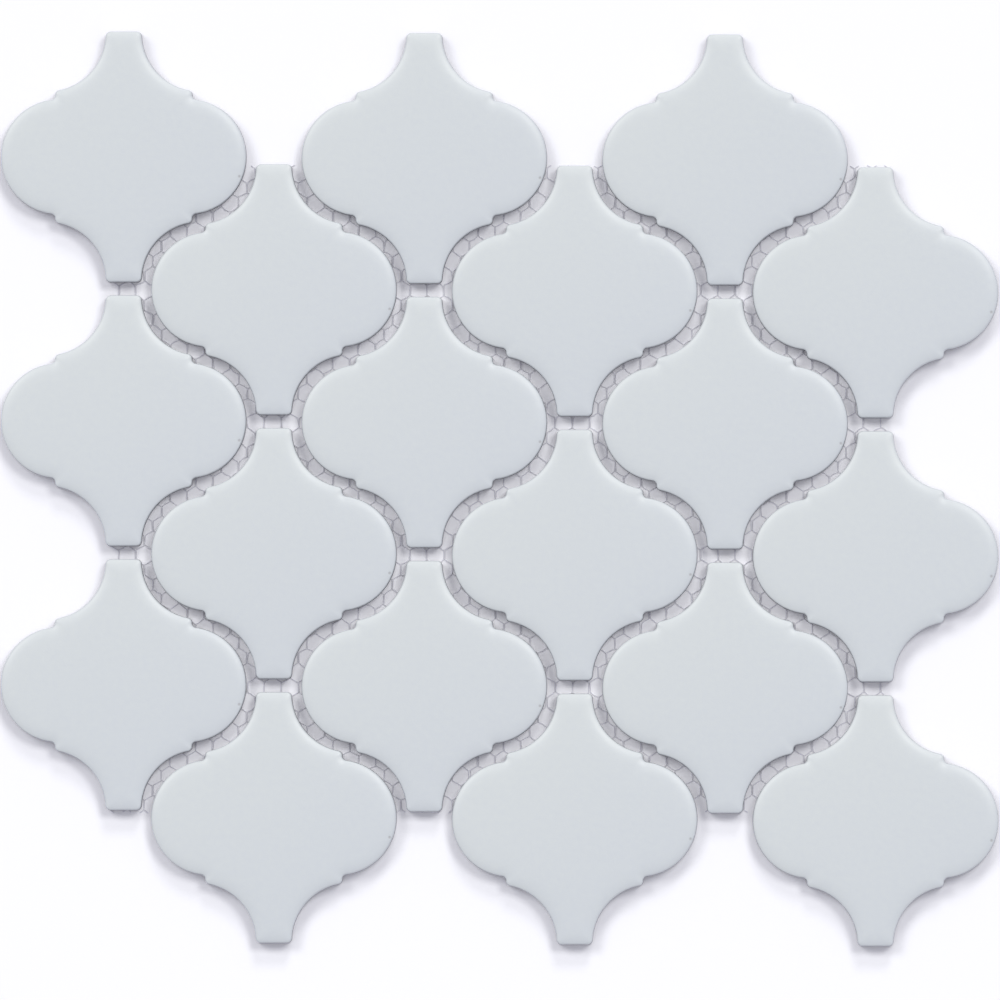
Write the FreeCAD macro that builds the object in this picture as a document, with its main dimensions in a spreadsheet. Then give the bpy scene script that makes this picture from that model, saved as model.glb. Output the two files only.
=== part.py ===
import FreeCAD, Part
import math
import os
import Sketcher

# A mosaic sheet of arabesque tiles on a net backing, lying face up. Sizes are in millimetres.
# The origin is the middle of the sheet, on the floor. +X is to the right, +Y is up the sheet and
# +Z is out of the faces of the tiles.

# Driving dimensions: alias, value, and what it measures.
SIZES = [
    ("tile_width", 66.0, "one tile, bulb to bulb"),
    ("tile_height", 67.5, "one tile, neck end to neck end"),
    ("tile_thickness", 6.0, "one tile, back to face"),
    ("neck_width", 9.7, "the narrow end of a tile, before its corners are rounded"),
    ("neck_curve_radius", 15.65, "the hollow flank from the neck to the shoulder"),
    ("neck_curve_drop", 0.45, "centre of that flank, below the neck end"),
    ("shoulder_step", 2.3, "height of the small step between flank and bulb"),
    ("rim_radius", 0.7, "rounding of a tile's face edge"),
    ("neck_corner", 0.3, "what is left of the neck's corner inside the rim"),
    ("shoulder_corner", 0.15, "what is left of the shoulder's corner inside the rim"),
    ("root_radius", 0.5, "the inner corner at the foot of the step"),
    ("side_joint", 2.55, "between a bulb and the neck beside it"),
    ("end_joint", 3.44, "between two neck ends that face each other"),
    ("shoulder_joint", 3.5, "between two shoulders that face each other"),
    ("column_drop", 0.22, "each column of tiles sits this much lower than the one to its left"),
    ("net_thickness", 0.4, "the backing net"),
    ("strand_width", 0.5, "one strand of the net"),
    ("net_cell", 4.56, "one cell of the net, strand to strand"),
]

# What follows from them: alias, formula, and what it measures.
LAYOUT = [
    ("column_pitch", "=(Sizes.tile_width + Sizes.neck_width) / 2 + Sizes.side_joint",
     "one column of tiles to the next"),
    ("row_pitch", "=(Sizes.tile_height + Sizes.end_joint) / 2",
     "one row of tiles to the next"),
    ("half_width", "=Sizes.tile_width / 2",
     "tile centre to the tip of a bulb"),
    ("half_height", "=Sizes.tile_height / 2",
     "tile centre to a neck end"),
    ("shoulder_reach", "=(column_pitch - Sizes.shoulder_joint) / 2",
     "tile centre line to the shoulder's step"),
    ("neck_radius", "=Sizes.rim_radius + Sizes.neck_corner",
     "neck corner seen from above"),
    ("shoulder_radius", "=Sizes.rim_radius + Sizes.shoulder_corner",
     "shoulder corner seen from above"),
    ("flank_x", "=Sizes.neck_width / 2 + Sizes.neck_curve_radius",
     "centre of the hollow flank, across"),
    ("flank_y", "=half_height - Sizes.neck_curve_drop",
     "centre of the hollow flank, up"),
    ("step_foot", "=flank_y - Sizes.shoulder_step"
     " - sqrt(Sizes.neck_curve_radius ^ 2 - (flank_x - shoulder_reach) ^ 2)",
     "height at which the bulb starts"),
    ("bulb_radius", "=((half_width - shoulder_reach) ^ 2 + step_foot ^ 2)"
     " / (2 * (half_width - shoulder_reach))",
     "a bulb, as an arc centred on the tile's middle line"),
]

ROWS = 6
COLUMNS = 6
TILE_PLACES = ("left", "middle", "right")
NET_STRIPS = 11
# The first and last rows of tiles hang over the net by half a tile, so the net spans four rows.
NET_TILE_ROWS = 4


def make_sheet(doc, name, entries):
    """A spreadsheet with one row for each entry: its value, which has the alias, and a remark."""
    sheet = doc.addObject("Spreadsheet::Sheet", name)
    for number, (alias, value, remark) in enumerate(entries, start=1):
        sheet.set(f"A{number}", alias)
        sheet.set(f"B{number}", str(value))
        sheet.setAlias(f"B{number}", alias)
        sheet.set(f"C{number}", remark)
        doc.recompute()
    return sheet


def origin_plane(body, role):
    """The body's own origin plane with this role."""
    for feature in body.Origin.OriginFeatures:
        if feature.Role == role:
            return feature
    raise ValueError(f"{body.Name} has no {role}")


def arc(centre, radius, start, end):
    """The anticlockwise arc from the direction of one point to the direction of another."""
    angles = [math.atan2(point.y - centre.y, point.x - centre.x) for point in (start, end)]
    if angles[1] < angles[0]:
        angles[1] += 2 * math.pi
    circle = Part.Circle(centre, FreeCAD.Vector(0, 0, 1), radius)
    return Part.ArcOfCircle(circle, angles[0], angles[1])


def touch(centre, radius, other_centre):
    """Where the circle meets another that it touches from outside."""
    towards = (other_centre - centre).normalize()
    return centre + towards * radius


def quarter_outline(size, place):
    """The tile's upper right quarter: its lines and arcs, in order from the centre line."""
    width = place("half_width")
    height = place("half_height")
    reach = place("shoulder_reach")
    flank_radius = size("neck_curve_radius")
    neck_radius = place("neck_radius")
    tip_radius = place("shoulder_radius")
    root_radius = size("root_radius")
    bulb_radius = place("bulb_radius")

    flank = FreeCAD.Vector(place("flank_x"), place("flank_y"))
    bulb = FreeCAD.Vector(width - bulb_radius, 0)
    neck_y = height - neck_radius
    neck_x = flank.x - math.sqrt((flank_radius + neck_radius) ** 2 - (flank.y - neck_y) ** 2)
    neck = FreeCAD.Vector(neck_x, neck_y)
    tip_x = reach - tip_radius
    tip_y = flank.y - math.sqrt((flank_radius + tip_radius) ** 2 - (flank.x - tip_x) ** 2)
    tip = FreeCAD.Vector(tip_x, tip_y)
    root_x = reach + root_radius
    root_y = math.sqrt((bulb_radius + root_radius) ** 2 - (root_x - bulb.x) ** 2)
    root = FreeCAD.Vector(root_x, root_y)

    middle = FreeCAD.Vector(0, 0)
    top = FreeCAD.Vector(0, height)
    neck_end = FreeCAD.Vector(neck.x, height)
    neck_foot = touch(neck, neck_radius, flank)
    tip_top = touch(tip, tip_radius, flank)
    step_top = FreeCAD.Vector(reach, tip.y)
    step_foot = FreeCAD.Vector(reach, root.y)
    bulb_top = touch(root, root_radius, bulb)
    side = FreeCAD.Vector(width, 0)
    return [
        Part.LineSegment(middle, top),
        Part.LineSegment(top, neck_end),
        arc(neck, neck_radius, neck_foot, neck_end),
        arc(flank, flank_radius, neck_foot, tip_top),
        arc(tip, tip_radius, step_top, tip_top),
        Part.LineSegment(step_top, step_foot),
        arc(root, root_radius, step_foot, bulb_top),
        arc(bulb, bulb_radius, side, bulb_top),
        Part.LineSegment(side, middle),
    ]


# The order of the pieces that quarter_outline gives, and the sketch's names for their points.
CENTRE_LINE, NECK_LINE, NECK_ARC, FLANK_ARC, TIP_ARC, STEP, ROOT_ARC, BULB_ARC, BASE_LINE = range(9)
AXES = -1
START, END, CENTRE = 1, 2, 3


def constrain_outline(sketch):
    """Join the quarter's pieces smoothly and bind each size to the sheets."""
    rules = [
        ("Coincident", CENTRE_LINE, START, AXES, START),
        ("Vertical", CENTRE_LINE),
        ("Coincident", CENTRE_LINE, END, NECK_LINE, START),
        ("Horizontal", NECK_LINE),
        ("Tangent", NECK_LINE, END, NECK_ARC, END),
        ("Tangent", NECK_ARC, START, FLANK_ARC, START),
        ("Tangent", FLANK_ARC, END, TIP_ARC, END),
        ("Tangent", TIP_ARC, START, STEP, START),
        ("Vertical", STEP),
        ("Tangent", STEP, END, ROOT_ARC, START),
        ("Tangent", ROOT_ARC, END, BULB_ARC, END),
        ("Coincident", BULB_ARC, START, BASE_LINE, START),
        ("PointOnObject", BULB_ARC, CENTRE, AXES),
        ("Coincident", BASE_LINE, END, CENTRE_LINE, START),
        ("Horizontal", BASE_LINE),
    ]
    for rule in rules:
        sketch.addConstraint(Sketcher.Constraint(*rule))
    measures = [
        ("DistanceX", (AXES, START, BASE_LINE, START), "Layout.half_width"),
        ("DistanceY", (AXES, START, CENTRE_LINE, END), "Layout.half_height"),
        ("DistanceX", (AXES, START, STEP, START), "Layout.shoulder_reach"),
        ("DistanceX", (AXES, START, FLANK_ARC, CENTRE), "Layout.flank_x"),
        ("DistanceY", (AXES, START, FLANK_ARC, CENTRE), "Layout.flank_y"),
        ("Radius", (NECK_ARC,), "Layout.neck_radius"),
        ("Radius", (FLANK_ARC,), "Sizes.neck_curve_radius"),
        ("Radius", (TIP_ARC,), "Layout.shoulder_radius"),
        ("Radius", (ROOT_ARC,), "Sizes.root_radius"),
        ("Radius", (BULB_ARC,), "Layout.bulb_radius"),
    ]
    for kind, points, value in measures:
        sheet_name, alias = value.split(".")
        number = sketch.Document.getObject(sheet_name).get(alias)
        index = sketch.addConstraint(Sketcher.Constraint(kind, *points, number))
        sketch.setExpression(f"Constraints[{index}]", value)


def top_face(shape):
    """The name of the shape's highest flat face."""
    heights = [face.CenterOfMass.z for face in shape.Faces]
    return f"Face{heights.index(max(heights)) + 1}"


def make_tile(doc, name, row, column):
    """One pressed porcelain tile: a lantern outline with a rounded face edge."""
    sizes = doc.getObject("Sizes")
    layout = doc.getObject("Layout")
    body = doc.addObject("PartDesign::Body", name)
    body.Label = name

    sketch = body.newObject("Sketcher::SketchObject", f"{name}_quarter")
    sketch.AttachmentSupport = [(origin_plane(body, "XY_Plane"), "")]
    sketch.MapMode = "FlatFace"
    sketch.addGeometry(quarter_outline(sizes.get, layout.get), False)
    constrain_outline(sketch)

    pad = body.newObject("PartDesign::Pad", f"{name}_pad")
    pad.Profile = sketch
    pad.setExpression("Length", "Sizes.tile_thickness")

    whole = body.newObject("PartDesign::MultiTransform", f"{name}_whole")
    whole.Originals = [pad]
    mirrors = []
    for role in ("YZ_Plane", "XZ_Plane"):
        mirror = body.newObject("PartDesign::Mirrored", f"{name}_{role[:2].lower()}_mirror")
        mirror.MirrorPlane = (origin_plane(body, role), [""])
        mirrors.append(mirror)
    whole.Transformations = mirrors
    whole.Refine = True
    body.Tip = whole
    doc.recompute()

    rim = body.newObject("PartDesign::Fillet", f"{name}_rim")
    rim.Base = (whole, [top_face(whole.Shape)])
    rim.setExpression("Radius", "Sizes.rim_radius")
    body.Tip = rim

    from_middle = column - (COLUMNS - 1) / 2
    above_middle = (ROWS - 1) / 2 - row
    body.setExpression("Placement.Base.x", f"Layout.column_pitch * ({from_middle})")
    body.setExpression("Placement.Base.y",
                       f"Layout.row_pitch * ({above_middle}) - Sizes.column_drop * ({from_middle})")
    body.setExpression("Placement.Base.z", "Sizes.net_thickness")
    return body


def net_grid(size, place):
    """The net's width, height, and number of cells across and of rows. Its sides are level with
    the outer necks, its ends with the neck ends of the second row and the last row but one."""
    width = (COLUMNS - 1) * place("column_pitch") + size("neck_width")
    height = (NET_TILE_ROWS - 1) * place("row_pitch") + size("tile_height")
    across = round(width / size("net_cell"))
    rows = round(height / (size("net_cell") * math.sqrt(3) / 2))
    return width, height, across, max(rows, NET_STRIPS)


def cell_hole(centre_x, centre_y, pitch_x, pitch_y, strand):
    """The outline of the hole in one cell, clockwise. It has a point at its top and bottom and an
    upright strand at each side."""
    rise = pitch_y / 3
    half = (pitch_x - strand) / 2
    slope = 2 * rise / pitch_x
    point = 2 * rise - strand / 2 * math.sqrt(1 + slope ** 2)
    side = point - slope * half
    offsets = [(half, side), (half, -side), (0, -point), (-half, -side), (-half, side), (0, point)]
    corners = [FreeCAD.Vector(centre_x + x, centre_y + y) for x, y in offsets]
    return Part.makePolygon(corners + corners[:1])


def net_strip_solid(size, place, first, last):
    """The net from one row of cells to another, right across, with its upper edge at y = 0. Both
    edges run halfway up the upright strands of a row, where the next strips go on."""
    width, height, across, rows = net_grid(size, place)
    pitch_x = width / across
    pitch_y = height / rows
    left = -width / 2
    low = (first - last) * pitch_y
    whole_holes = []
    cut_holes = []
    for row in range(first, last + 1):
        shift = 0.75 if row % 2 == 0 else 0.25
        for column in range(-1, across + 1):
            centre_x = left + (column + shift) * pitch_x
            overhang = abs(centre_x) + pitch_x / 2 - width / 2
            if overhang >= pitch_x:
                continue
            hole = cell_hole(centre_x, (first - row) * pitch_y, pitch_x, pitch_y,
                             size("strand_width"))
            inside = first < row < last and overhang <= 0
            holes = whole_holes if inside else cut_holes
            holes.append(hole)
    band = Part.makePlane(width, -low, FreeCAD.Vector(left, low))
    cut_faces = Part.makeCompound([Part.Face(hole) for hole in cut_holes])
    edge = band.cut(cut_faces).Faces[0].OuterWire
    net = Part.Face([edge] + whole_holes)
    return net.extrude(FreeCAD.Vector(0, 0, size("net_thickness")))


def make_net(doc):
    """The backing net, in strips that meet edge to edge. Strips with the same rows share a solid."""
    size = doc.getObject("Sizes").get
    place = doc.getObject("Layout").get
    height, rows = net_grid(size, place)[1::2]
    solids = {}
    strips = []
    for number in range(NET_STRIPS):
        first = round(number * rows / NET_STRIPS)
        last = round((number + 1) * rows / NET_STRIPS)
        kind = (last - first, first % 2)
        if kind not in solids:
            solids[kind] = net_strip_solid(size, place, first, last)
        name = f"backing_net_{number + 1:02d}"
        strip = doc.addObject("Part::Feature", name)
        strip.Label = name
        strip.Shape = solids[kind]
        strip.Placement = FreeCAD.Placement(
            FreeCAD.Vector(0, height / 2 - first * height / rows, 0), FreeCAD.Rotation())
        strips.append(strip)
    return strips


def check(doc, pieces):
    """Stop if an object failed or a piece is not one valid solid. Copies are examined once."""
    for item in doc.Objects:
        if "Invalid" in item.State or "Error" in item.State:
            raise RuntimeError(f"{item.Label} could not be built")
    valid = []
    for piece in pieces:
        shape = piece.Shape
        if shape.isNull() or len(shape.Solids) != 1:
            raise RuntimeError(f"{piece.Label} is not one solid")
        if any(shape.isPartner(other) for other in valid):
            continue
        if not shape.isValid():
            raise RuntimeError(f"{piece.Label} is not valid")
        valid.append(shape)


def main():
    doc = FreeCAD.newDocument("arabesque_sheet")
    make_sheet(doc, "Sizes", SIZES)
    make_sheet(doc, "Layout", LAYOUT)
    pieces = []
    for row in range(ROWS):
        for number, place in enumerate(TILE_PLACES):
            column = 2 * number + row % 2
            pieces.append(make_tile(doc, f"tile_row{row + 1}_{place}", row, column))
    pieces.extend(make_net(doc))
    doc.recompute()
    check(doc, pieces)
    os.makedirs("parts", exist_ok=True)
    for piece in pieces:
        piece.Shape.exportStep(f"parts/{piece.Label}.step")
        print(f"{piece.Label}: volume {piece.Shape.Volume:.1f}")


main()
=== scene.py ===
# %% [markdown]
# A mosaic sheet is a set of small tiles that the factory glues to a net, so that a tiler can lay
# many of them in one go. This one holds eighteen lantern-shaped porcelain tiles in six staggered
# rows. It lies on a white floor and the camera looks down on it.
#
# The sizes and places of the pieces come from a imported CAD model, which is loaded first and stays
# where it is. Everything below is made around it, in metres, with +X to the right, +Y up the
# sheet and +Z out of the tiles' faces.

# %% Load the frame
import math

import bpy
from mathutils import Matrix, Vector
from mathutils.geometry import delaunay_2d_cdt


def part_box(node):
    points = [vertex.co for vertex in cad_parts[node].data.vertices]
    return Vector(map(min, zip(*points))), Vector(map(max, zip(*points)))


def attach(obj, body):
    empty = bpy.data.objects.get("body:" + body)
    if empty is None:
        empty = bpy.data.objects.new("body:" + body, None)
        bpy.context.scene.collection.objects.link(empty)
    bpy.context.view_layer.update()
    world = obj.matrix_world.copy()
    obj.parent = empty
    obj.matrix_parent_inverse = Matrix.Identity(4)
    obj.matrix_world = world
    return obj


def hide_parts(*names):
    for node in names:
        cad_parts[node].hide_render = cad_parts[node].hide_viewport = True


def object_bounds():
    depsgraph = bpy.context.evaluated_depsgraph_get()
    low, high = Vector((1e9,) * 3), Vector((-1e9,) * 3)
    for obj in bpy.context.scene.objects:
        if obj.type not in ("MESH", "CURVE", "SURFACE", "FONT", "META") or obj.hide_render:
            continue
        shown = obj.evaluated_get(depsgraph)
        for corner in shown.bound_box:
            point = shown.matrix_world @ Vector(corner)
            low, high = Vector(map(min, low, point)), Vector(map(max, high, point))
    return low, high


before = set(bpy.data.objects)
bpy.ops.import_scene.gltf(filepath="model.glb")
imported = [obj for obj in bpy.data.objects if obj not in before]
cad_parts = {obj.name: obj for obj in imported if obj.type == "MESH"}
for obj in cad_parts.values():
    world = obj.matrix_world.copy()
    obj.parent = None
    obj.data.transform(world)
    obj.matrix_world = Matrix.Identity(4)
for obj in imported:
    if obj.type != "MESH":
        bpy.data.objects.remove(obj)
cad_low, cad_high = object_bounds()
MM = 0.001

tile_nodes = [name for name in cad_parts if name.startswith("tile_")]
net_nodes = [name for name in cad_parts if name.startswith("backing_net_")]
print(len(tile_nodes), "tiles and", len(net_nodes), "net strips; the sheet measures",
      [round(size / MM, 1) for size in cad_high - cad_low], "mm")

# %% [markdown]
# Blender can bend the colours of a render to look like film. A catalogue picture of a tile has to
# show the true colour, so the plain Standard view is used and nothing is added to it.

# %% Colour management
scene = bpy.context.scene
scene.view_settings.view_transform = "Standard"
print("colours are shown in the", scene.view_settings.view_transform, "view")

# %% [markdown]
# The camera hangs far above the sheet with a long lens. From so far away every tile is seen from
# the same side, as in a picture that is taken for a catalogue. It isn't exactly overhead but a
# degree or so to the lower right, so each tile shows a thin line of its side wall there and none at
# its upper left. A tracking constraint could aim the camera, but two small angles do the same and
# keep the picture level. The picture's middle isn't the middle of the sheet: the sheet sits a
# little high in the frame.

# %% The camera
PICTURE_WIDTH = 268.46 * MM
PICTURE_MIDDLE = Vector((0.19 * MM, -3.13 * MM, cad_high.z))
CAMERA_HEIGHT = 7.0
LEAN_UP = math.radians(1.2)
LEAN_LEFT = math.radians(0.8)
SENSOR_WIDTH = 36
FARTHEST_SEEN = 20


def add_camera():
    """A camera above the sheet that sees a square of the picture's width."""
    data = bpy.data.cameras.new("camera")
    data.sensor_width = SENSOR_WIDTH
    data.lens = SENSOR_WIDTH * CAMERA_HEIGHT / PICTURE_WIDTH
    data.clip_end = FARTHEST_SEEN
    camera = bpy.data.objects.new("camera", data)
    away = Vector((math.tan(LEAN_LEFT), -math.tan(LEAN_UP), 1))
    camera.location = PICTURE_MIDDLE + CAMERA_HEIGHT * away
    camera.rotation_euler = (LEAN_UP, LEAN_LEFT, 0)
    scene.collection.objects.link(camera)
    return camera


scene.camera = add_camera()
print("lens of", round(scene.camera.data.lens), "mm")

# %% [markdown]
# Materials and Geometry Nodes are both trees of nodes. They can be drawn by hand in the window, but
# written as code they can be read, changed and run again. Four helpers keep them short. One feeds a
# socket with a value or with another socket, one adds a node, one does a step of arithmetic, and
# one mixes two colours. A Mix node has sockets for numbers, vectors and colours, so its colour
# sockets are known by their places.

# %% Helpers for node trees
MIX_AMOUNT = 0
MIX_FIRST = 6
MIX_SECOND = 7
MIX_RESULT = 2


def feed(tree, socket, value):
    """Gives an input a fixed value, or joins it to an output."""
    if isinstance(value, bpy.types.NodeSocket):
        tree.links.new(value, socket)
    else:
        socket.default_value = value


def add_node(tree, kind, inputs=None, **settings):
    """A new node with these settings, and these values or outputs for its inputs."""
    node = tree.nodes.new(kind)
    for name, value in settings.items():
        setattr(node, name, value)
    for name, value in (inputs or {}).items():
        feed(tree, node.inputs[name], value)
    return node


def math_node(tree, operation, *values):
    """The result of a Math node. Each value is a number or an output."""
    return add_node(tree, "ShaderNodeMath", dict(enumerate(values)), operation=operation).outputs[0]


def mix_colours(tree, amount, first, second):
    """A colour between two. An amount of nought gives the first."""
    mix = add_node(tree, "ShaderNodeMix",
                   {MIX_AMOUNT: amount, MIX_FIRST: first, MIX_SECOND: second}, data_type="RGBA")
    return mix.outputs[MIX_RESULT]


print("four helpers are ready")

# %% [markdown]
# The floor has to look pure white wherever the light reaches it, and still darken in the narrow
# joints and beside the tiles. A white diffuse surface alone stops just short of white. So the
# camera, and a reflection, also sees a little light of the floor's own, which lifts the lit floor
# to white. That light is hidden from every other ray, so it doesn't brighten the tiles. The paper
# is a very pale lilac. Where it is fully lit it still looks white, and in the joints, where light
# bounces about, its tint shows.

# %% The floor
WHITE = (1, 1, 1, 1)
FLOOR_COLOUR = (0.93, 0.93, 1.0, 1)
FLOOR_GLOW = 0.082
FLOOR_HALF = 3.0


def empty_material(name):
    """A material with only an output node."""
    material = bpy.data.materials.new(name)
    material.use_nodes = True
    tree = material.node_tree
    tree.nodes.clear()
    return material, tree, add_node(tree, "ShaderNodeOutputMaterial")


def seen_directly(tree):
    """One for what the camera sees itself, in a reflection or through glass, otherwise nought."""
    rays = add_node(tree, "ShaderNodeLightPath").outputs
    seen = math_node(tree, "MAXIMUM", rays["Is Camera Ray"], rays["Is Glossy Ray"])
    return math_node(tree, "MAXIMUM", seen, rays["Is Transmission Ray"])


def floor_material():
    """White paper that shows soft shadows."""
    material, tree, output = empty_material("white_floor")
    paper = add_node(tree, "ShaderNodeBsdfDiffuse", {"Color": FLOOR_COLOUR}).outputs[0]
    glow = add_node(tree, "ShaderNodeEmission", {"Color": WHITE, "Strength": FLOOR_GLOW})
    both = add_node(tree, "ShaderNodeAddShader", {0: paper, 1: glow.outputs[0]})
    choose = add_node(tree, "ShaderNodeMixShader",
                      {0: seen_directly(tree), 1: paper, 2: both.outputs[0]})
    feed(tree, output.inputs["Surface"], choose.outputs[0])
    return material


def add_floor():
    """One large square, level with the underside of the net."""
    corners = [(-1, -1), (1, -1), (1, 1), (-1, 1)]
    mesh = bpy.data.meshes.new("floor")
    mesh.from_pydata([(x * FLOOR_HALF, y * FLOOR_HALF, cad_low.z) for x, y in corners],
                     [], [(0, 1, 2, 3)])
    mesh.materials.append(floor_material())
    floor = bpy.data.objects.new("floor", mesh)
    scene.collection.objects.link(floor)


add_floor()
print("floor", 2 * FLOOR_HALF, "m wide")

# %% [markdown]
# A sky of even light fills the shadows. Where the camera or a reflection would see it, plain white
# stands in its place. The sky is a very pale lilac and the lamps of the next step a very pale
# yellow. Together they are neutral on a tile's face, and what only the sky reaches keeps a lilac
# tint.

# %% The sky
SKY_SHARE = 0.44
SKY_COLOUR = (0.93, 0.93, 1.0, 1)


def add_sky():
    """Even light from all round, behind a white background."""
    world = bpy.data.worlds.new("sky")
    world.use_nodes = True
    tree = world.node_tree
    tree.nodes.clear()
    output = add_node(tree, "ShaderNodeOutputWorld")
    sky = add_node(tree, "ShaderNodeBackground", {"Color": SKY_COLOUR, "Strength": SKY_SHARE})
    backdrop = add_node(tree, "ShaderNodeBackground", {"Color": WHITE, "Strength": 1.0})
    choose = add_node(tree, "ShaderNodeMixShader",
                      {0: seen_directly(tree), 1: sky.outputs[0], 2: backdrop.outputs[0]})
    feed(tree, output.inputs["Surface"], choose.outputs[0])
    scene.world = world


add_sky()
print("the sky gives", SKY_SHARE, "of the light")

# %% [markdown]
# The lamps decide how the joints look. Three soft lamps stand beyond the sheet's upper side: one at
# the upper left, a low one at the top and a high one at the upper right. They brighten the upper
# rims of the tiles and leave a dark line under the lower ones. Light from the upper right runs
# along the joints that rise to the right, so these look lighter than the joints that fall. Sun
# lamps with a wide angle are used, because they light every tile alike, however far it is from the
# middle. A share is what a lamp adds on a level surface. All shares and the sky's come to about
# one, the light at which a colour renders about as it is written.

# %% The lamps
LAMP_COLOUR = (1.0, 1.0, 0.945)
LAMPS = {
    "left_lamp": {"turn": 140, "rise": 56, "angle": 22, "share": 0.20},
    "top_lamp": {"turn": 80, "rise": 40, "angle": 16, "share": 0.12},
    "right_lamp": {"turn": 46, "rise": 62, "angle": 18, "share": 0.25},
}


def add_lamp(name, turn, rise, angle, share):
    """A wide soft lamp at this turn from +X and this rise above the floor, in degrees."""
    turn = math.radians(turn)
    rise = math.radians(rise)
    towards = Vector((math.cos(turn) * math.cos(rise), math.sin(turn) * math.cos(rise),
                      math.sin(rise)))
    data = bpy.data.lights.new(name, "SUN")
    data.angle = math.radians(angle)
    data.color = LAMP_COLOUR
    data.energy = share * math.pi / math.sin(rise)
    lamp = bpy.data.objects.new(name, data)
    lamp.location = towards
    lamp.rotation_mode = "QUATERNION"
    lamp.rotation_quaternion = towards.to_track_quat("Z", "Y")
    scene.collection.objects.link(lamp)


for lamp_name, lamp_values in LAMPS.items():
    add_lamp(lamp_name, **lamp_values)
print("light on a level surface",
      round(SKY_SHARE + sum(values["share"] for values in LAMPS.values()), 2))

# %% [markdown]
# The glaze is matte, a pale bluish white. A single flat colour looks like plastic, and a picture
# wrapped round a tile would blur from near by, so the tone is worked out from noise. It drifts
# slowly from one part of the sheet to another, and has a fine mottle where the glaze is a little
# thicker or thinner. Light is painted into the colour as well: every tile is painted lighter and
# warmer at its upper left, as if lit from there, and bluer and darker at its lower right, as if in
# shade.
#
# For this the material has to know where it is on its own tile. The mesh that is made below
# carries that in an attribute: across and up from the middle of the tile in millimetres, then how
# deep in from the rim.

# %% The tone of the glaze
TILE_PLACE = "tile_place"
GLAZE_LIGHT = (0.649, 0.685, 0.713, 1)
GLAZE_DARK = (0.613, 0.649, 0.704, 1)
DRIFT_SIZE = 90 * MM
DRIFT_WEIGHT = 0.5
MOTTLE_SIZE = 1.6 * MM
MOTTLE_DETAIL = 4.0
MOTTLE_WEIGHT = 0.9
TONE_START = -0.2
# Painted light: how much lighter each millimetre towards a tile's upper left makes the glaze.
PAINTED_LIGHT_FADE = (-0.0106, 0.0131, 0)


def noise_at(tree, coordinates, size, detail=2.0):
    """Noise whose blobs are about this many metres across."""
    noise = add_node(tree, "ShaderNodeTexNoise",
                     {"Vector": coordinates, "Scale": 1 / size, "Detail": detail})
    return noise.outputs["Fac"]


def glaze_tone(tree, place, on_tile, mottle):
    """The colour of the glaze, between its two tones, with painted light across each tile."""
    drift = noise_at(tree, place, DRIFT_SIZE)
    # Painted light and shade: lighter at the tile's upper left, darker and bluer at its lower
    # right.
    painted_light = add_node(tree, "ShaderNodeVectorMath", {0: on_tile, 1: PAINTED_LIGHT_FADE},
                     operation="DOT_PRODUCT")
    uneven = math_node(tree, "ADD", math_node(tree, "MULTIPLY", drift, DRIFT_WEIGHT),
                       math_node(tree, "MULTIPLY", mottle, MOTTLE_WEIGHT))
    amount = math_node(tree, "ADD", math_node(tree, "ADD", uneven, TONE_START),
                       painted_light.outputs["Value"])
    return mix_colours(tree, amount, GLAZE_DARK, GLAZE_LIGHT)


print("the glaze's tone drifts over", round(DRIFT_SIZE / MM), "mm and is mottled over",
      MOTTLE_SIZE / MM, "mm")

# %% [markdown]
# Each tile has a pinhole near its right tip, where a bubble burst in the kiln. It is too small for
# the mesh, so it is a dent in the material with a dark spot of painted shade, the shade inside the
# hole. The glaze ends just below the rim, in a slightly uneven line, and the rest of the side wall
# is a dark grey, partly bare clay and partly painted shade for the dark line along each tile's
# walls. The third number of the attribute goes from nought at the rim to minus one at the foot of
# the wall, so one range of it tells glaze from the grey wall.

# %% The pinhole and the grey wall, with painted shade
# The pinhole's colour is painted shade, the dark inside the hole.
PINHOLE_PAINTED_SHADE = (0.46, 0.47, 0.50, 1)
PINHOLE_AT = (31.15, -5.35, 0)
PINHOLE_RADIUS = 0.33
PINHOLE_FADE_START = PINHOLE_RADIUS * 1.6
PINHOLE_FADE_END = PINHOLE_RADIUS * 0.5
# The wall's grey is partly bare clay and partly painted shade, for the dark line along each tile's
# walls.
WALL_CLAY_AND_SHADE_COLOUR = (0.42, 0.42, 0.445, 1)
GLAZE_END = 0.12
GLAZE_END_BLUR = 0.3
NOISE_MIDDLE = 0.5
FLATTENED = (1, 1, 0)


def pinhole(tree, on_tile):
    """One in the pinhole, nought elsewhere."""
    level = add_node(tree, "ShaderNodeVectorMath", {0: on_tile, 1: FLATTENED},
                     operation="MULTIPLY")
    reach = add_node(tree, "ShaderNodeVectorMath", {0: level.outputs[0], 1: PINHOLE_AT},
                     operation="DISTANCE")
    spot = add_node(tree, "ShaderNodeMapRange", {
        "Value": reach.outputs["Value"],
        "From Min": PINHOLE_FADE_START,
        "From Max": PINHOLE_FADE_END})
    return spot.outputs[0]


def clay_and_shade_wall(tree, on_tile, mottle):
    """One on the grey wall of bare clay and painted shade, nought on the glaze."""
    depth = add_node(tree, "ShaderNodeSeparateXYZ", {0: on_tile}).outputs["Z"]
    uneven = math_node(tree, "SUBTRACT", mottle, NOISE_MIDDLE)
    drip = math_node(tree, "MULTIPLY", uneven, GLAZE_END)
    clay_and_shade = add_node(tree, "ShaderNodeMapRange", {
        "Value": math_node(tree, "ADD", depth, drip),
        "From Min": -GLAZE_END * (1 - GLAZE_END_BLUR),
        "From Max": -GLAZE_END * (1 + GLAZE_END_BLUR)})
    return clay_and_shade.outputs[0]


print("the glaze covers the upper", round(GLAZE_END * 100), "% of the wall")

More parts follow.
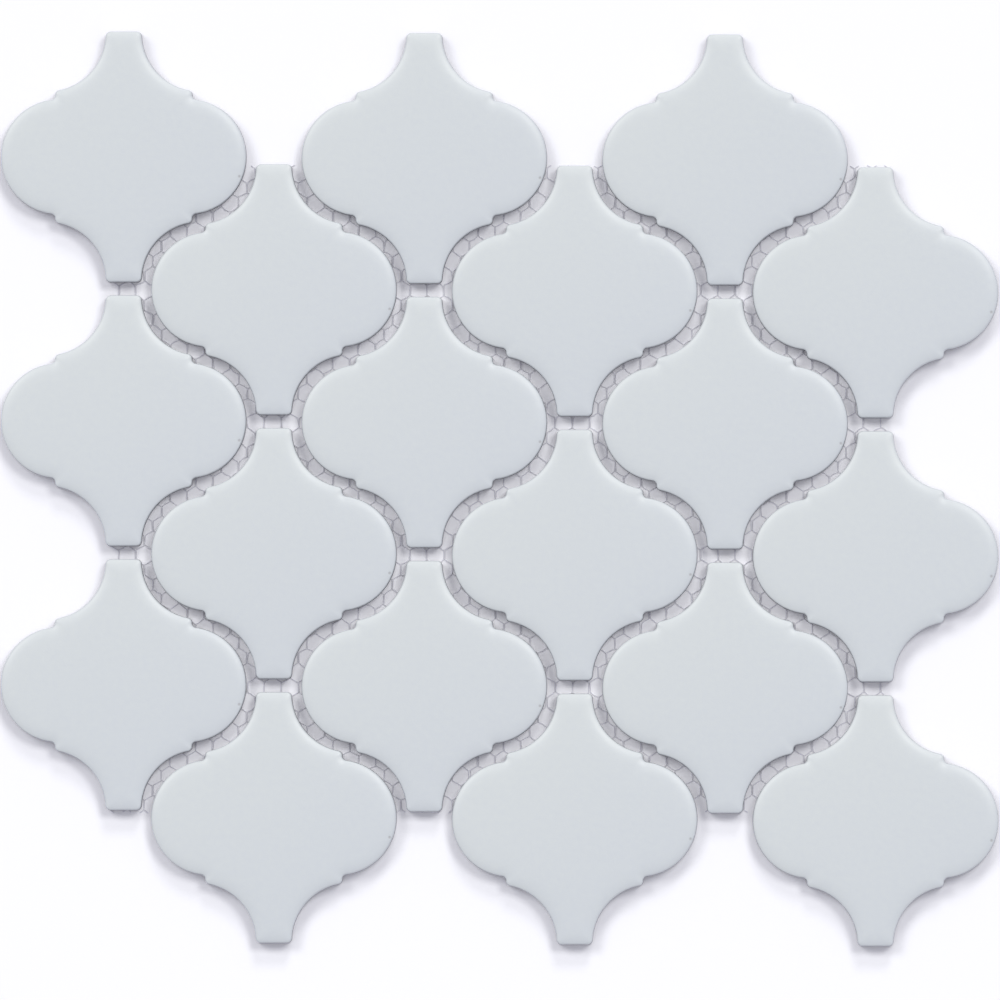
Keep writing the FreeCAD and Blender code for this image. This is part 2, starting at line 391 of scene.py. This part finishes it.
# %% [markdown]
# A sprayed surface is never quite flat. Under a soft light this hardly shows as colour but it
# breaks up the shine, so it is a bump and not a shape: a faint ripple with a finer grain on it.
# The roughness varies with the mottle, because thin glaze is duller, and clay is duller still.

# %% The glaze
RIPPLE_SIZE = 2.2 * MM
GRAIN_SIZE = 0.35 * MM
GRAIN_DETAIL = 3.0
GRAIN_WEIGHT = 0.25
PINHOLE_DEPTH = 2.0
GLAZE_BUMP = {"Strength": 0.5, "Distance": 0.05 * MM}
GLAZE_ROUGHNESS = {"To Min": 0.34, "To Max": 0.42}
CLAY_ROUGHNESS = 0.9
GLAZE_SHINE = {"IOR": 1.5, "Specular IOR Level": 0.65}


def glaze_height(tree, place, spot):
    """The height of the glaze's surface, for a bump."""
    ripple = noise_at(tree, place, RIPPLE_SIZE)
    grain = noise_at(tree, place, GRAIN_SIZE, GRAIN_DETAIL)
    height = math_node(tree, "ADD", ripple, math_node(tree, "MULTIPLY", grain, GRAIN_WEIGHT))
    return math_node(tree, "SUBTRACT", height, math_node(tree, "MULTIPLY", spot, PINHOLE_DEPTH))


def glaze_material():
    """Matte porcelain glaze, with painted shade in its pinhole and on the grey wall below it."""
    material, tree, output = empty_material("porcelain_glaze")
    place = add_node(tree, "ShaderNodeTexCoord").outputs["Object"]
    on_tile = add_node(tree, "ShaderNodeAttribute", attribute_name=TILE_PLACE).outputs["Vector"]
    mottle = noise_at(tree, place, MOTTLE_SIZE, MOTTLE_DETAIL)
    spot = pinhole(tree, on_tile)
    clay_and_shade = clay_and_shade_wall(tree, on_tile, mottle)
    # A dark spot of painted shade in the pinhole.
    colour = mix_colours(tree, spot, glaze_tone(tree, place, on_tile, mottle), PINHOLE_PAINTED_SHADE)
    rough = add_node(tree, "ShaderNodeMapRange", {"Value": mottle, **GLAZE_ROUGHNESS})
    bump = add_node(tree, "ShaderNodeBump", {"Height": glaze_height(tree, place, spot),
                                             **GLAZE_BUMP})
    surface = add_node(tree, "ShaderNodeBsdfPrincipled", {
        # The grey wall below the glaze is partly painted shade.
        "Base Color": mix_colours(tree, clay_and_shade, colour, WALL_CLAY_AND_SHADE_COLOUR),
        "Roughness": math_node(tree, "MAXIMUM", rough.outputs[0],
                               math_node(tree, "MULTIPLY", clay_and_shade, CLAY_ROUGHNESS)),
        "Normal": bump.outputs[0], **GLAZE_SHINE})
    feed(tree, output.inputs["Surface"], surface.outputs[0])
    return material


glaze = glaze_material()
print("the glaze has", len(glaze.node_tree.nodes), "nodes")

# %% [markdown]
# The net is knitted from pale grey thread. The single fibres are too fine to see and show only as a
# slight unevenness, so a fine noise varies both the tone of the thread and its surface.

# %% The thread
THREAD_LIGHT = (0.91, 0.91, 0.98, 1)
THREAD_DARK = (0.75, 0.75, 0.82, 1)
FIBRE_SIZE = 0.25 * MM
FIBRE_DETAIL = 3.0
THREAD_BUMP = {"Strength": 0.6, "Distance": 0.05 * MM}
THREAD_SHINE = {"Roughness": 0.85, "Specular IOR Level": 0.25, "Sheen Weight": 0.2}


def thread_material():
    """Pale grey fibre, rough and without shine."""
    material, tree, output = empty_material("net_thread")
    place = add_node(tree, "ShaderNodeTexCoord").outputs["Object"]
    fibre = noise_at(tree, place, FIBRE_SIZE, FIBRE_DETAIL)
    bump = add_node(tree, "ShaderNodeBump", {"Height": fibre, **THREAD_BUMP})
    surface = add_node(tree, "ShaderNodeBsdfPrincipled", {
        "Base Color": mix_colours(tree, fibre, THREAD_DARK, THREAD_LIGHT),
        "Normal": bump.outputs[0], **THREAD_SHINE})
    feed(tree, output.inputs["Surface"], surface.outputs[0])
    return material


thread = thread_material()
print("the thread has", len(thread.node_tree.nodes), "nodes")

# %% [markdown]
# Seen from above, a tile is drawn with a few arcs. Its flank curves in from the narrow neck, ends
# in a small shoulder, and steps down to the round bulb at its side. All four quarters are alike.
# A curve could be drawn by eye, but arcs with true radii keep the eighteen tiles and their joints
# even. One quarter is worked out here. It and the sizes below are in millimetres, because such
# small numbers are easier to read than fractions of a metre. The size of a whole tile comes from
# the CAD model.

# %% One quarter of the outline
NECK_WIDTH = 9.7
FLANK_RADIUS = 15.65
FLANK_DROP = 0.45
SHOULDER_STEP = 2.3
SHOULDER_REACH = 18.45
NECK_CORNER = 1.4
SHOULDER_CORNER = 1.3
ROOT_CORNER = 1.2
LONG_ARC_SPACING = 0.9
NECK_SPACING = 0.2
SHOULDER_SPACING = 0.15
ROOT_SPACING = 0.06

first_low, first_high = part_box(tile_nodes[0])
HALF_WIDTH = (first_high - first_low).x / MM / 2
HALF_HEIGHT = (first_high - first_low).y / MM / 2
THICKNESS = (first_high - first_low).z / MM


def arc_points(centre, radius, start, end, spacing):
    """Points along an arc between two angles, about this many millimetres apart."""
    count = max(2, math.ceil(abs(end - start) * radius / spacing))
    points = []
    for index in range(count + 1):
        angle = start + (end - start) * index / count
        points.append(Vector((centre.x + radius * math.cos(angle),
                              centre.y + radius * math.sin(angle))))
    return points


def heading(start, end):
    """The angle of the line from one point to another."""
    return math.atan2(end.y - start.y, end.x - start.x)


def quarter():
    """The upper right quarter of the outline, from the side tip of the bulb to the neck's end."""
    flank = Vector((NECK_WIDTH / 2 + FLANK_RADIUS, HALF_HEIGHT - FLANK_DROP))
    across = HALF_WIDTH - SHOULDER_REACH
    foot = flank.y - SHOULDER_STEP - math.sqrt(FLANK_RADIUS ** 2 - (flank.x - SHOULDER_REACH) ** 2)
    bulb_radius = (across ** 2 + foot ** 2) / (2 * across)
    bulb = Vector((HALF_WIDTH - bulb_radius, 0))
    root_x = SHOULDER_REACH + ROOT_CORNER
    root = Vector((root_x, math.sqrt((bulb_radius + ROOT_CORNER) ** 2 - (root_x - bulb.x) ** 2)))
    tip_x = SHOULDER_REACH - SHOULDER_CORNER
    tip_rise = math.sqrt((FLANK_RADIUS + SHOULDER_CORNER) ** 2 - (flank.x - tip_x) ** 2)
    tip = Vector((tip_x, flank.y - tip_rise))
    neck_y = HALF_HEIGHT - NECK_CORNER
    neck_x = flank.x - math.sqrt((FLANK_RADIUS + NECK_CORNER) ** 2 - (flank.y - neck_y) ** 2)
    neck = Vector((neck_x, neck_y))

    turn = 2 * math.pi
    points = arc_points(bulb, bulb_radius, 0, heading(bulb, root), LONG_ARC_SPACING)
    points += arc_points(root, ROOT_CORNER, heading(root, bulb) % turn, math.pi, ROOT_SPACING)
    points += arc_points(tip, SHOULDER_CORNER, 0, heading(tip, flank), SHOULDER_SPACING)
    points += arc_points(flank, FLANK_RADIUS, heading(flank, tip) % turn,
                         heading(flank, neck) % turn, LONG_ARC_SPACING)
    points += arc_points(neck, NECK_CORNER, heading(neck, flank), math.pi / 2, NECK_SPACING)
    return points


upper_right = quarter()
print(len(upper_right), "points in a quarter of the outline")

# %% [markdown]
# The other three quarters are the same points turned over. Where two arcs meet, the point that both
# have is kept once, and the straight end of the neck is cut into short edges, so that no edge of
# the mesh is much longer than its neighbours.

# %% The whole outline
LONGEST_EDGE = 0.95
SAME_POINT = 0.01


def whole_outline():
    """All four quarters, anticlockwise, with its points at most LONGEST_EDGE apart."""
    upper_left = [Vector((-point.x, point.y)) for point in reversed(upper_right)]
    half = upper_right + upper_left
    corners = half + [-point for point in half]
    points = []
    for start, end in zip(corners, corners[1:] + corners[:1]):
        if (end - start).length < SAME_POINT:
            continue
        pieces = math.ceil((end - start).length / LONGEST_EDGE)
        points += [start.lerp(end, piece / pieces) for piece in range(pieces)]
    return points


outline = whole_outline()
outline_edges = list(zip(outline, outline[1:] + outline[:1]))
print(len(outline), "points in the outline of a tile")

# %% [markdown]
# A pressed tile has no sharp edge. Its face is very slightly crowned and rolls over at the rim, and
# that roll is what catches the light. The mesh needs points where the surface bends, so rings of
# points follow the outline inwards, close together at the rim and further apart inside. A ring
# would tie itself in a knot at a tight corner, so a point is kept only if no part of the outline is
# nearer to it than the ring's own distance.

# %% Rings of points
RING_DEPTHS = (0.03, 0.09, 0.18, 0.3, 0.46, 0.66, 0.9, 1.2, 1.6, 2.1, 2.8, 3.8)
RING_SLACK = 0.97
RING_SPACING = 0.3
FULL_SPACING_DEPTH = 1.0


def distance_to_outline(point):
    """The shortest way from a point to the outline."""
    best = math.inf
    for start, end in outline_edges:
        along = end - start
        share = (point - start).dot(along) / along.length_squared
        nearest = start + along * min(1, max(0, share))
        best = min(best, (point - nearest).length)
    return best


def moved_in(depth):
    """Each point of the outline, moved inwards."""
    befores = outline[-1:] + outline[:-1]
    afters = outline[1:] + outline[:1]
    moved = []
    for before, point, after in zip(befores, outline, afters):
        along = (after - before).normalized()
        moved.append(point + Vector((-along.y, along.x)) * depth)
    return moved


def ring(depth):
    """The outline moved inwards, without the points that a nearer part of it overtakes."""
    spacing = RING_SPACING * min(depth, FULL_SPACING_DEPTH)
    points = []
    for moved in moved_in(depth):
        if distance_to_outline(moved) < depth * RING_SLACK:
            continue
        if points and (moved - points[-1]).length < spacing:
            continue
        points.append(moved)
    return points


print(len(ring(RING_DEPTHS[-1])), "points in a ring", RING_DEPTHS[-1], "mm in from the outline")

# %% [markdown]
# The middle of the face is nearly flat, so a sparse field of points is enough there. They lie in
# the corners of even triangles, well clear of the last ring.

# %% Points in the middle of the face
INNER_SPACING = 4.0
INNER_ROW_SHARE = 0.866
INNER_GAP = 1.6


def is_inside(point):
    """Whether a point lies within the outline, by counting the edges to its right."""
    inside = False
    for start, end in outline_edges:
        if (start.y > point.y) != (end.y > point.y):
            crossing = start.x + (point.y - start.y) / (end.y - start.y) * (end.x - start.x)
            if crossing > point.x:
                inside = not inside
    return inside


def inner_points():
    """A sparse field of points over the middle of the face."""
    points = []
    rows = int(2 * HALF_HEIGHT / INNER_SPACING)
    for row in range(-rows, rows + 1):
        for column in range(-rows, rows + 1):
            shift = 0.5 if row % 2 else 0.0
            point = Vector(((column + shift) * INNER_SPACING,
                            row * INNER_SPACING * INNER_ROW_SHARE))
            if is_inside(point) and distance_to_outline(point) > RING_DEPTHS[-1] + INNER_GAP:
                points.append(point)
    return points


face_middle = inner_points()
print(len(face_middle), "points in the middle of the face")

# %% [markdown]
# A tile is pressed in a mould, so its walls slope a little to let it out, and the face is slightly
# smaller than the back. The slope is part of the thin grey line beside the glaze, of bare clay and
# painted shade, that shows most at the lower right, where the camera sees the wall. A Delaunay
# triangulation joins the points of the face, because it makes neat triangles from any set of points
# and keeps to the outline. The wall is a band of four-sided faces, and the back is one face with
# the full outline.
#
# The blank is still flat. Each of its points remembers where it is on the tile and how far it is
# in from the rim, in the attribute that the rounding and the glaze read.

# %% A flat tile blank
WALL_DRAFT = 0.10
BACK_DEPTH = -1.0
INSIDE_ONLY = 1
NEARNESS = 1e-6


def face_points():
    """The points of the face, the rim first, and how deep in from the rim each one is."""
    points = moved_in(WALL_DRAFT)
    depths = [0.0] * len(points)
    for depth in RING_DEPTHS:
        found = ring(WALL_DRAFT + depth)
        points += found
        depths += [depth] * len(found)
    for point in face_middle:
        points.append(point)
        depths.append(distance_to_outline(point) - WALL_DRAFT)
    return points, depths


def tile_blank():
    """A closed flat tile about its own middle, in metres, with its back at zero."""
    count = len(outline)
    points, depths = face_points()
    edges = [(index, (index + 1) % count) for index in range(count)]
    flat, _, triangles, sources, _, _ = delaunay_2d_cdt(points, edges, [], INSIDE_ONLY, NEARNESS)

    places = [(point.x, point.y, depths[source[0]]) for point, source in zip(flat, sources)]
    vertices = [(x * MM, y * MM, THICKNESS * MM) for x, y, _ in places]
    rim = {source[0]: index for index, source in enumerate(sources)}
    back = len(vertices)
    places += [(point.x, point.y, BACK_DEPTH) for point in outline]
    vertices += [(point.x * MM, point.y * MM, 0.0) for point in outline]
    faces = [tuple(triangle) for triangle in triangles]
    for index in range(count):
        after = (index + 1) % count
        faces.append((back + index, back + after, rim[after], rim[index]))
    faces.append(tuple(back + index for index in reversed(range(count))))

    mesh = bpy.data.meshes.new("tile_blank")
    mesh.from_pydata(vertices, [], faces)
    place = mesh.attributes.new(TILE_PLACE, "FLOAT_VECTOR", "POINT")
    place.data.foreach_set("vector", [value for point in places for value in point])
    sharp = mesh.attributes.new("sharp_edge", "BOOLEAN", "EDGE")
    for edge in mesh.edges:
        sharp.data[edge.index].value = min(edge.vertices) >= back
    return mesh


blank = tile_blank()
print(len(blank.polygons), "faces in a tile blank")

# %% [markdown]
# Both Geometry Nodes trees below start and end alike. A tree has named inputs, so that its sizes
# can be changed without opening it. It ends by making instances real, because the export drops
# them, and by giving the result its material.

# %% Starting and ending a Geometry Nodes tree


def new_tree(name, inputs):
    """A Geometry Nodes tree with named inputs: a list of names and socket types."""
    tree = bpy.data.node_groups.new(name, "GeometryNodeTree")
    sockets = tree.interface
    sockets.new_socket(name="Geometry", in_out="OUTPUT", socket_type="NodeSocketGeometry")
    for socket_name, kind in inputs:
        sockets.new_socket(name=socket_name, in_out="INPUT", socket_type="NodeSocket" + kind)
    return tree, tree.nodes.new("NodeGroupInput").outputs


def end_tree(tree, geometry, material):
    """Shades the result smooth, makes it real and gives it its finish."""
    smooth = add_node(tree, "GeometryNodeSetShadeSmooth", {"Geometry": geometry})
    plain = add_node(tree, "GeometryNodeRealizeInstances", {"Geometry": smooth.outputs[0]})
    finish = add_node(tree, "GeometryNodeSetMaterial",
                      {"Geometry": plain.outputs[0], "Material": material})
    add_node(tree, "NodeGroupOutput", {"Geometry": finish.outputs[0]})
    print(tree.name, "has", len(tree.nodes), "nodes")


print("the start and the end of a tree are ready")

# %% [markdown]
# The rounding is a rule, the same for all the tiles, so a Geometry Nodes tree bends them. It lowers
# each point of the face by three amounts. A crown makes the whole face a very flat dome. A shoulder
# lets it slope a little more over the last few millimetres. The rim is a quarter of an ellipse, so
# the face ends upright.

# %% How far the face drops
CROWN_HEIGHT = 0.4
SHOULDER_DROP = 0.55
SHOULDER_WIDTH = 1.3
RIM_DROP = 0.3
RIM_WIDTH = 0.3


def crown_drop(tree, across, up, height):
    """More with the square of the distance from the tile's middle."""
    far_across = math_node(tree, "POWER", math_node(tree, "DIVIDE", across, HALF_WIDTH), 2.0)
    far_up = math_node(tree, "POWER", math_node(tree, "DIVIDE", up, HALF_HEIGHT), 2.0)
    return math_node(tree, "MULTIPLY", math_node(tree, "ADD", far_across, far_up), height)


def shoulder_drop(tree, depth, width, drop):
    """Most at the rim, and fading inwards."""
    fade = math_node(tree, "DIVIDE", depth, width)
    fade = math_node(tree, "EXPONENT", math_node(tree, "MULTIPLY", fade, -1.0))
    return math_node(tree, "MULTIPLY", fade, drop)


def rim_drop(tree, depth, width, drop):
    """A quarter of an ellipse over the width of the rim."""
    inwards = math_node(tree, "DIVIDE", depth, width)
    outwards = math_node(tree, "SUBTRACT", 1.0, math_node(tree, "MINIMUM", inwards, 1.0))
    level = math_node(tree, "SUBTRACT", 1.0, math_node(tree, "POWER", outwards, 2.0))
    level = math_node(tree, "SQRT", level)
    return math_node(tree, "MULTIPLY", math_node(tree, "SUBTRACT", 1.0, level), drop)


print("at its tips the face drops about", round(CROWN_HEIGHT + SHOULDER_DROP + RIM_DROP, 2), "mm")

# %% [markdown]
# Now the three drops are put together. Only the points of the face are lowered. The back has a
# negative depth, by which the tree tells it from the face. At the end the tree moves the whole tile
# to its own place on the sheet.

# %% The rounding of a tile


def rounding_tree():
    """Bends a flat blank into a tile and moves it to its place."""
    tree, take = new_tree("tile_rounding", [
        ("Geometry", "Geometry"), ("Crown Height", "Float"), ("Shoulder Drop", "Float"),
        ("Shoulder Width", "Float"), ("Rim Drop", "Float"), ("Rim Width", "Float"),
        ("Place", "Vector"), ("Finish", "Material")])
    stored = add_node(tree, "GeometryNodeInputNamedAttribute", {"Name": TILE_PLACE},
                      data_type="FLOAT_VECTOR")
    parts = add_node(tree, "ShaderNodeSeparateXYZ", {0: stored.outputs["Attribute"]})
    across, up, depth = parts.outputs
    crown = crown_drop(tree, across, up, take["Crown Height"])
    shoulder = shoulder_drop(tree, depth, take["Shoulder Width"], take["Shoulder Drop"])
    rim = rim_drop(tree, depth, take["Rim Width"], take["Rim Drop"])
    drop = math_node(tree, "ADD", math_node(tree, "ADD", crown, shoulder), rim)
    offset = add_node(tree, "ShaderNodeCombineXYZ", {"Z": math_node(tree, "MULTIPLY", drop, -MM)})
    on_face = math_node(tree, "GREATER_THAN", depth, BACK_DEPTH / 2)
    bend = add_node(tree, "GeometryNodeSetPosition", {
        "Geometry": take["Geometry"], "Selection": on_face, "Offset": offset.outputs[0]})
    move = add_node(tree, "GeometryNodeSetPosition",
                    {"Geometry": bend.outputs[0], "Offset": take["Place"]})
    end_tree(tree, move.outputs[0], take["Finish"])
    return tree


tile_rounding = rounding_tree()

# %% [markdown]
# A modifier's inputs are known to Python by an identifier, which needn't be the name that shows in
# the window, so a helper looks it up. The evaluated result is then kept as a plain mesh and the
# modifier goes.

# %% Making a plain piece with a tree


def run_tree(name, mesh, tree, values):
    """The plain piece that a tree makes of this mesh with these input values."""
    piece = bpy.data.objects.new(name, mesh)
    scene.collection.objects.link(piece)
    modifier = piece.modifiers.new("shape", "NODES")
    modifier.node_group = tree
    identifiers = {item.name: item.identifier for item in tree.interface.items_tree
                   if item.in_out == "INPUT"}
    for input_name, value in values.items():
        modifier[identifiers[input_name]] = value
    piece.update_tag()
    graph = bpy.context.evaluated_depsgraph_get()
    made = bpy.data.meshes.new_from_object(piece.evaluated_get(graph), depsgraph=graph)
    made.name = name
    piece.modifiers.remove(modifier)
    piece.data = made
    return piece


print("pieces can now be made with a tree")

# %% [markdown]
# The eighteen tiles are all pressed in the same mould, so they are made from one blank. Each goes
# where the CAD model has a plain tile, and stands in for it.

# %% The tiles


def add_tile(node):
    """One glazed tile in the place of a plain one."""
    low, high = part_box(node)
    tile = run_tree("glazed_" + node, blank, tile_rounding, {
        "Crown Height": CROWN_HEIGHT, "Shoulder Drop": SHOULDER_DROP,
        "Shoulder Width": SHOULDER_WIDTH, "Rim Drop": RIM_DROP, "Rim Width": RIM_WIDTH,
        "Place": ((low.x + high.x) / 2, (low.y + high.y) / 2, low.z), "Finish": glaze})
    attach(tile, "root")
    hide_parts(node)
    return tile


tiles = [add_tile(node) for node in tile_nodes]
print(len(tiles), "tiles, each with", len(tiles[0].data.polygons), "faces")

# %% [markdown]
# The net under the tiles is knitted. Its threads run down the sheet in zigzags. Two neighbours lie
# side by side for a short upright stretch, part, and each meets the neighbour on its other side in
# the next row, so the holes between them are hexagons. Drawing each hole would lay every thread
# down twice. The tree below draws the threads instead: it makes all their points at once and works
# out from a point's number alone which thread and which row it is in. A row of a thread has three
# points: the top and the foot of its upright stretch, and the middle of the slanting one. A thread
# starts and ends with such a middle, because the net is cut through there.

# %% Which thread and row a point is in
POINTS_IN_ROW = 3.0
FIRST_POINT = 2.0
HALF = 0.5


def whole_part(tree, number, divisor):
    """How many times the divisor goes into a whole number. The half guards against rounding."""
    return math_node(tree, "FLOOR", math_node(tree, "DIVIDE",
                                              math_node(tree, "ADD", number, HALF), divisor))


def remainder(tree, number, divisor, times):
    """What is left of a number after the divisor is taken away so many times."""
    return math_node(tree, "SUBTRACT", number, math_node(tree, "MULTIPLY", times, divisor))


def points_in_thread(tree, rows):
    """The number of points in one thread."""
    return math_node(tree, "ADD", math_node(tree, "MULTIPLY", rows, POINTS_IN_ROW), 1.0)


def point_address(tree, rows):
    """The number of the point's thread, its row, and which of the row's points it is."""
    index = add_node(tree, "GeometryNodeInputIndex").outputs[0]
    in_thread = points_in_thread(tree, rows)
    number = whole_part(tree, index, in_thread)
    along = math_node(tree, "ADD", remainder(tree, index, in_thread, number), FIRST_POINT)
    row = whole_part(tree, along, POINTS_IN_ROW)
    return number, row, remainder(tree, along, POINTS_IN_ROW, row)


print("a row of a thread has", round(POINTS_IN_ROW), "points")

# %% [markdown]
# From the row and the thread's number follows the point's place. In every second row a thread
# swings nearly half a pitch aside, to one side or the other. The threads of a pair lie just beside
# each other and not in the same place. Row nought is half a row above the net's upper edge, so that
# the edge runs through the slanting stretches.

# %% Where a point of a thread lies
PAIR_OFFSET = 0.4
NET_MARGIN = 0.25
UPRIGHT_REACH = 1 / 3
SLANT_POINT = 2.0
SLANT_MATCH = 0.25


def swing(tree, take, row, side):
    """How far a thread stands to the right of its column in a row, in pitches."""
    odd = math_node(tree, "MODULO", row, 2.0)
    beside = math_node(tree, "DIVIDE",
                       math_node(tree, "MULTIPLY", take["Thread Width"], PAIR_OFFSET),
                       take["Pitch Across"])
    reach = math_node(tree, "SUBTRACT", HALF, math_node(tree, "MULTIPLY", beside, 2.0))
    out = math_node(tree, "MULTIPLY", odd, reach)
    return math_node(tree, "MULTIPLY", math_node(tree, "ADD", beside, out), side)


def place_across(tree, take, number, row, phase):
    """The distance of a point from the net's left edge."""
    column = whole_part(tree, number, 2.0)
    turns_left = remainder(tree, number, 2.0, column)
    side = math_node(tree, "SUBTRACT", 1.0, math_node(tree, "MULTIPLY", turns_left, 2.0))
    here = swing(tree, take, row, side)
    following = swing(tree, take, math_node(tree, "ADD", row, 1.0), side)
    between = math_node(tree, "COMPARE", phase, SLANT_POINT, SLANT_MATCH)
    step = math_node(tree, "MULTIPLY", math_node(tree, "SUBTRACT", following, here), HALF)
    moved = math_node(tree, "ADD", here, math_node(tree, "MULTIPLY", step, between))
    start = math_node(tree, "ADD", math_node(tree, "ADD", column, turns_left), NET_MARGIN)
    return math_node(tree, "MULTIPLY", math_node(tree, "ADD", start, moved),
                     take["Pitch Across"])


def place_down(tree, take, row, phase):
    """The distance of a point from the net's upper edge."""
    upright = math_node(tree, "SUBTRACT", math_node(tree, "MULTIPLY", phase, 2 * UPRIGHT_REACH),
                        UPRIGHT_REACH)
    upright = math_node(tree, "MINIMUM", upright, HALF)
    down = math_node(tree, "SUBTRACT", math_node(tree, "ADD", row, upright), HALF)
    return math_node(tree, "MULTIPLY", down, take["Pitch Down"])


print("an upright stretch is", round(2 * UPRIGHT_REACH, 2), "of a row long")

# %% [markdown]
# No real net is regular, so every point is shaken a little, with a fixed seed that gives the same
# net each time. The shake goes up and down as well, so the threads wander between the floor and the
# backs of the tiles. Then the points are joined into lines, the lines get a round section, and the
# whole is pressed flatter, as threads under a tile are.

# %% The net's tree
SHAKE_REACH = Vector((1, 1, 0.65))


def shaken(tree, take, across, down):
    """A point's place on the net, shaken."""
    place = add_node(tree, "ShaderNodeCombineXYZ",
                     {"X": across, "Y": math_node(tree, "MULTIPLY", down, -1.0)})
    shake = add_node(tree, "FunctionNodeRandomValue",
                     {0: -SHAKE_REACH, 1: SHAKE_REACH, "Seed": take["Seed"]},
                     data_type="FLOAT_VECTOR")
    scaled = add_node(tree, "ShaderNodeVectorMath",
                      {0: shake.outputs[0], "Scale": take["Shake"]}, operation="SCALE")
    return add_node(tree, "ShaderNodeVectorMath", {0: place.outputs[0], 1: scaled.outputs[0]},
                    operation="ADD").outputs[0]


def thread_tubes(tree, take, position, number):
    """Every point at its position, joined into threads with a thickness."""
    threads = math_node(tree, "SUBTRACT", math_node(tree, "MULTIPLY", take["Columns"], 2.0), 1.0)
    count = math_node(tree, "MULTIPLY", threads, points_in_thread(tree, take["Rows"]))
    points = add_node(tree, "GeometryNodePoints", {"Count": count, "Position": position})
    lines = add_node(tree, "GeometryNodePointsToCurves",
                     {"Points": points.outputs[0], "Curve Group ID": number})
    section = add_node(tree, "GeometryNodeCurvePrimitiveCircle", {
        "Resolution": take["Thread Sides"],
        "Radius": math_node(tree, "MULTIPLY", take["Thread Width"], HALF)})
    tubes = add_node(tree, "GeometryNodeCurveToMesh", {
        "Curve": lines.outputs[0], "Profile Curve": section.outputs[0], "Fill Caps": True})
    press = add_node(tree, "ShaderNodeCombineXYZ",
                     {"X": 1.0, "Y": 1.0, "Z": take["Thread Flatness"]})
    lay = add_node(tree, "GeometryNodeTransform", {
        "Geometry": tubes.outputs[0], "Scale": press.outputs[0], "Translation": take["Corner"]})
    return lay.outputs[0]


def net_tree():
    """Zigzag threads that make a net of hexagons."""
    tree, take = new_tree("knitted_net", [
        ("Geometry", "Geometry"), ("Columns", "Int"), ("Rows", "Int"), ("Corner", "Vector"),
        ("Pitch Across", "Float"), ("Pitch Down", "Float"), ("Thread Width", "Float"),
        ("Thread Flatness", "Float"), ("Thread Sides", "Int"), ("Shake", "Float"),
        ("Seed", "Int"), ("Finish", "Material")])
    number, row, phase = point_address(tree, take["Rows"])
    across = place_across(tree, take, number, row, phase)
    down = place_down(tree, take, row, phase)
    position = shaken(tree, take, across, down)
    end_tree(tree, thread_tubes(tree, take, position, number), take["Finish"])
    return tree


knitted_net = net_tree()

# %% [markdown]
# The CAD model stores the net as strips, because it has thousands of crossings. Here it is one
# piece again, as on the real sheet, over the box of all the strips together.

# %% The backing net
NET_COLUMNS = 46
NET_ROWS = 44
THREAD_WIDTH = 0.28
THREAD_FLATNESS = 0.65
THREAD_SIDES = 6
THREAD_SHAKE = 0.16
SHAKE_SEED = 7


def net_box():
    """The lowest and highest corners of all the strips together."""
    boxes = [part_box(node) for node in net_nodes]
    low = Vector([min(box[0][axis] for box in boxes) for axis in range(3)])
    high = Vector([max(box[1][axis] for box in boxes) for axis in range(3)])
    return low, high


def add_net():
    """The whole net as one piece, in the place of its plain strips."""
    low, high = net_box()
    net = run_tree("knitted_backing_net", bpy.data.meshes.new("nothing"), knitted_net, {
        "Columns": NET_COLUMNS, "Rows": NET_ROWS,
        "Corner": (low.x, high.y, (low.z + high.z) / 2),
        "Pitch Across": (high.x - low.x) / NET_COLUMNS,
        "Pitch Down": (high.y - low.y) / NET_ROWS,
        "Thread Width": THREAD_WIDTH * MM, "Thread Flatness": THREAD_FLATNESS,
        "Thread Sides": THREAD_SIDES, "Shake": THREAD_SHAKE * MM, "Seed": SHAKE_SEED,
        "Finish": thread})
    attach(net, "root")
    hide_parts(*net_nodes)
    return net


backing_net = add_net()
heights = [vertex.co.z / MM for vertex in backing_net.data.vertices]
print("net of", len(backing_net.data.polygons), "faces,", round(min(heights), 2), "to",
      round(max(heights), 2), "mm high")
